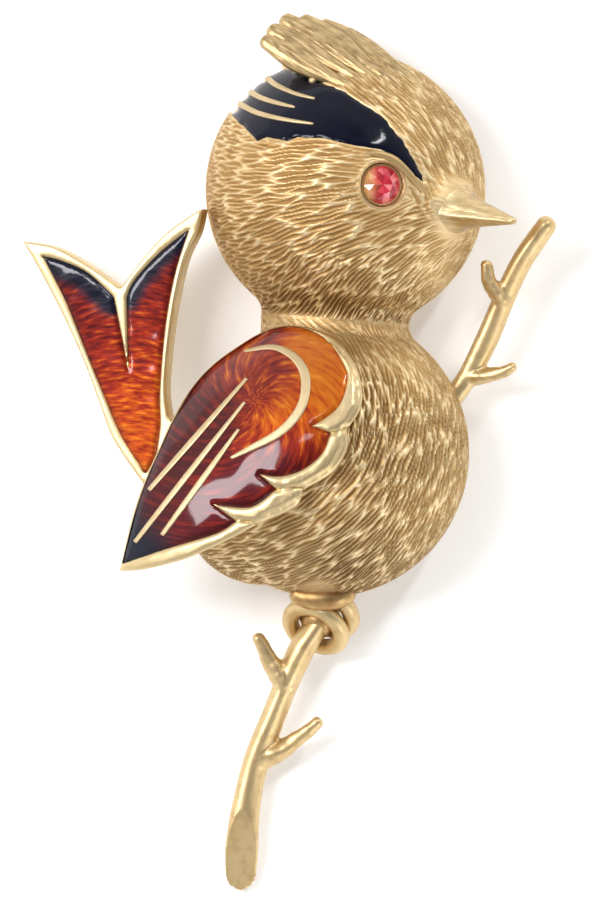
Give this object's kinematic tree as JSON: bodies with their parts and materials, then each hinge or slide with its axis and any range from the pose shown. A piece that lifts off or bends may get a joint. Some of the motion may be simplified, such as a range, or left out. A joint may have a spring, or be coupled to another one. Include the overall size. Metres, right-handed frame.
{
  "type": "bird brooch",
  "caption": "Round songbird brooch on a twig, engraved cast gold with enamelled stripe, wing and forked tail and a red stone eye, lying on its back with its pin behind the head.",
  "frame": {"origin": "on the table, under the middle of the whole brooch as it lies on its back", "axes": "+Z out of the brooch's front, +Y up from the branch's foot to the crest, +X to the side that the beak points to"},
  "size_m": [0.0365, 0.0599, 0.0135],
  "materials": {
    "engraved_gold": "cast 18-carat yellow gold, engraved all over with fine feather lines",
    "polished_gold": "polished 18-carat yellow gold",
    "satin_gold": "satin 18-carat yellow gold",
    "black_enamel": "glossy blue-black vitreous enamel",
    "wing_enamel": "glossy translucent enamel over engraved gold, amber to burgundy to blue-black",
    "tail_enamel": "glossy translucent enamel over engraved gold, orange to red to blue-black",
    "red_stone": "polished faceted red stone"
  },
  "bodies": {
    "root": {"bird_shell": "engraved_gold", "head_enamel": "black_enamel", "eye_stone": "red_stone", "wing_frame": "polished_gold", "wing_enamel": "wing_enamel", "tail_frame": "polished_gold", "tail_enamel": "tail_enamel", "branch": "satin_gold", "pin_fitting": "satin_gold"}
  },
  "joints": []
}
